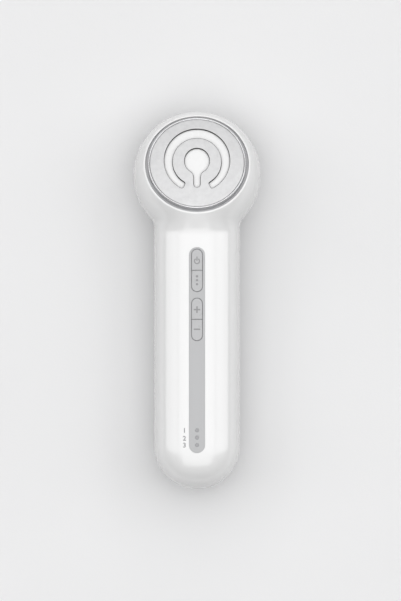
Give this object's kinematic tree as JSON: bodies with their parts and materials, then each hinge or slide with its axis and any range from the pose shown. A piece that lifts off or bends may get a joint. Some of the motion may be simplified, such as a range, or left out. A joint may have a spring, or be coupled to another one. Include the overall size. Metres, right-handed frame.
{
  "type": "facial toning device",
  "caption": "Hand-held facial device: straight round handle with push buttons on a grey strip and a ball-like head with a tilted round applicator that has lit windows.",
  "frame": {"origin": "centre of the footprint on the resting plane, with the device lying on its back", "axes": "+X to the right of the front, +Y along the handle towards the head, +Z out of the front face"},
  "size_m": [0.064, 0.1898, 0.0431],
  "materials": {
    "housing_white": "high-gloss moulded ABS",
    "strip_grey": "smooth satin insert",
    "button_grey": "satin keys with printed symbols",
    "switch_black": "moulded switch housing",
    "switch_stem": "moulded actuator",
    "lens_frosted": "frosted light pipe",
    "led_body": "surface-mount LED",
    "circuit_board": "green solder mask",
    "chip_black": "epoxy package",
    "ferrite": "sintered ferrite",
    "copper_wire": "enamelled copper",
    "cell_wrap": "shrink sleeve",
    "nickel": "nickel strip",
    "wire_sleeve": "silicone wire",
    "frame_grey": "moulded chassis",
    "screw_steel": "zinc-plated steel",
    "socket_steel": "formed stainless shell",
    "socket_black": "moulded tongue",
    "cup_white": "moulded cup",
    "gasket_grey": "silicone seal",
    "rim_silver": "plated electrode ring",
    "plate_silver": "satin plated electrode",
    "window_white": "translucent white diffuser",
    "head_board_white": "white solder mask",
    "contact_gold": "gold-plated spring contact",
    "ribbon_amber": "polyimide flexible circuit",
    "connector_ivory": "moulded connector"
  },
  "bodies": {
    "housing": {"front_shell": "housing_white", "rear_shell": "housing_white", "control_strip": "strip_grey", "switch_bases": "switch_black", "indicator_lenses": "lens_frosted", "indicator_leds": "led_body", "main_board": "circuit_board", "control_chips": "chip_black", "transformer_core": "ferrite", "transformer_winding": "copper_wire", "battery_cell": "cell_wrap", "battery_tabs": "nickel", "battery_leads": "wire_sleeve", "inner_frame": "frame_grey", "frame_screws": "screw_steel", "charge_socket": "socket_steel", "socket_tongue": "socket_black", "charge_board": "circuit_board", "charge_leads": "wire_sleeve", "applicator_cup": "cup_white", "cup_gasket": "gasket_grey", "rim_electrode": "rim_silver", "electrode_plate": "plate_silver", "light_window": "window_white", "head_board": "head_board_white", "treatment_leds": "led_body", "electrode_contacts": "contact_gold", "skin_thermistor": "chip_black", "head_screws": "screw_steel", "ribbon_connectors": "connector_ivory", "head_ribbon": "ribbon_amber"},
    "power_key": {"power_button": "button_grey", "power_switch_stem": "switch_stem"},
    "mode_key": {"mode_button": "button_grey", "mode_switch_stem": "switch_stem"},
    "plus_key": {"plus_button": "button_grey", "plus_switch_stem": "switch_stem"},
    "minus_key": {"minus_button": "button_grey", "minus_switch_stem": "switch_stem"}
  },
  "joints": [
    {"name": "power_press", "type": "slide", "parent": "housing", "child": "power_key", "axis": [0, 0, -1], "range_m": [0, 0.0003], "stiffness_N_per_m": 2000},
    {"name": "mode_press", "type": "slide", "parent": "housing", "child": "mode_key", "axis": [0, 0, -1], "range_m": [0, 0.0003], "stiffness_N_per_m": 2000},
    {"name": "plus_press", "type": "slide", "parent": "housing", "child": "plus_key", "axis": [0, 0, -1], "range_m": [0, 0.0003], "stiffness_N_per_m": 2000},
    {"name": "minus_press", "type": "slide", "parent": "housing", "child": "minus_key", "axis": [0, 0, -1], "range_m": [0, 0.0003], "stiffness_N_per_m": 2000}
  ]
}
